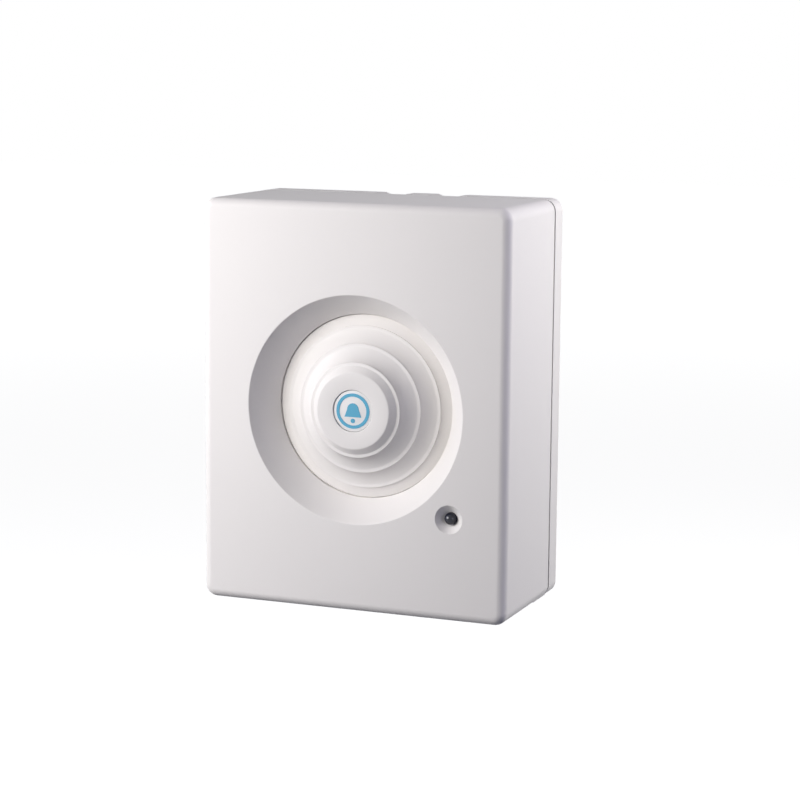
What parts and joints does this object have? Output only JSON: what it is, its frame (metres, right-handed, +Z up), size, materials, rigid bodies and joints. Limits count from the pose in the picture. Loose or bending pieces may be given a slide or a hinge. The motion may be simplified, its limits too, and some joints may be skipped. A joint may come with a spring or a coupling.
{
  "type": "wireless doorbell sounder",
  "caption": "Wall-mounted radio doorbell sounder: deep moulded box with a round stepped louvre in a conical recess, an indicator lens and a hinged battery cover.",
  "frame": {"origin": "centre of the back plate's wall face", "axes": "+X to the right and +Z up as seen facing the sounder, +Y into the wall"},
  "size_m": [0.1166, 0.0584, 0.1472],
  "materials": {
    "casing": "fine matt moulded white",
    "dome": "satin moulded white",
    "badge": "satin white",
    "badge_print": "pale blue print",
    "screw_steel": "zinc plated",
    "dark_lens": "dark tinted, polished",
    "red_lens": "clear red, polished",
    "black_plastic": "black moulded",
    "natural_plastic": "off-white moulded",
    "blue_plastic": "blue moulded",
    "cell_sleeve": "printed sleeve, plain",
    "bright_metal": "nickel plated",
    "brass": "bright",
    "ceramic": "fired ceramic",
    "foam": "open foam",
    "green_board": "solder mask",
    "red_lead": "red wire cover",
    "ferrite": "grey ferrite",
    "copper": "enamelled copper",
    "capacitor_sleeve": "dark blue sleeve"
  },
  "bodies": {
    "base": {"back_plate": "casing", "battery_holder": "black_plastic", "holder_screws": "screw_steel", "battery_cell_1": "cell_sleeve", "battery_cell_2": "cell_sleeve", "battery_cell_3": "cell_sleeve", "battery_cell_4": "cell_sleeve", "positive_contacts": "bright_metal", "leaf_springs": "bright_metal", "battery_lead_red": "red_lead", "battery_lead_black": "black_plastic", "battery_plug": "natural_plastic", "battery_header": "natural_plastic", "main_board": "green_board", "board_screws": "screw_steel", "sounder_housing": "black_plastic", "piezo_plate": "brass", "piezo_ceramic": "ceramic", "sounder_horn": "black_plastic", "sounder_gasket": "foam", "sounder_pins": "bright_metal", "status_led": "red_lens", "led_spacer": "black_plastic", "learn_switch": "black_plastic", "dip_switch": "blue_plastic", "volume_trimmer": "blue_plastic", "radio_board": "green_board", "radio_can": "bright_metal", "radio_pins": "bright_metal", "antenna_wire": "red_lead", "microcontroller": "black_plastic", "crystal_can": "bright_metal", "inductor_core": "ferrite", "coil_winding": "copper", "capacitors": "capacitor_sleeve", "chip_parts": "ceramic"},
    "cover": {"front_cover": "casing", "sounder_dome": "dome", "dome_screws": "screw_steel", "centre_badge": "badge", "badge_symbol": "badge_print", "indicator_lens": "dark_lens", "lens_retainer": "black_plastic"},
    "learn_button": {"learn_button": "natural_plastic"},
    "volume_rotor": {"volume_rotor": "natural_plastic"},
    "dip_lever_1": {"dip_lever_1": "natural_plastic"},
    "dip_lever_2": {"dip_lever_2": "natural_plastic"},
    "dip_lever_3": {"dip_lever_3": "natural_plastic"},
    "dip_lever_4": {"dip_lever_4": "natural_plastic"}
  },
  "joints": [
    {"name": "cover_hinge", "type": "hinge", "parent": "base", "child": "cover", "pos_m": [0, -0.015, -0.07175], "axis": [1, 0, 0], "range_deg": [0, 90]},
    {"name": "learn_press", "type": "slide", "parent": "base", "child": "learn_button", "axis": [0, 1, 0], "range_m": [0, 0.0003], "stiffness_N_per_m": 800},
    {"name": "volume_turn", "type": "hinge", "parent": "base", "child": "volume_rotor", "pos_m": [-0.012, -0.0127, -0.049], "axis": [0, -1, 0], "range_deg": [-135, 135]},
    {"name": "dip_1_slide", "type": "slide", "parent": "base", "child": "dip_lever_1", "axis": [0, 0, 1], "range_m": [0, 0.002]},
    {"name": "dip_2_slide", "type": "slide", "parent": "base", "child": "dip_lever_2", "axis": [0, 0, 1], "range_m": [0, 0.002]},
    {"name": "dip_3_slide", "type": "slide", "parent": "base", "child": "dip_lever_3", "axis": [0, 0, 1], "range_m": [0, 0.002]},
    {"name": "dip_4_slide", "type": "slide", "parent": "base", "child": "dip_lever_4", "axis": [0, 0, 1], "range_m": [0, 0.002]}
  ]
}
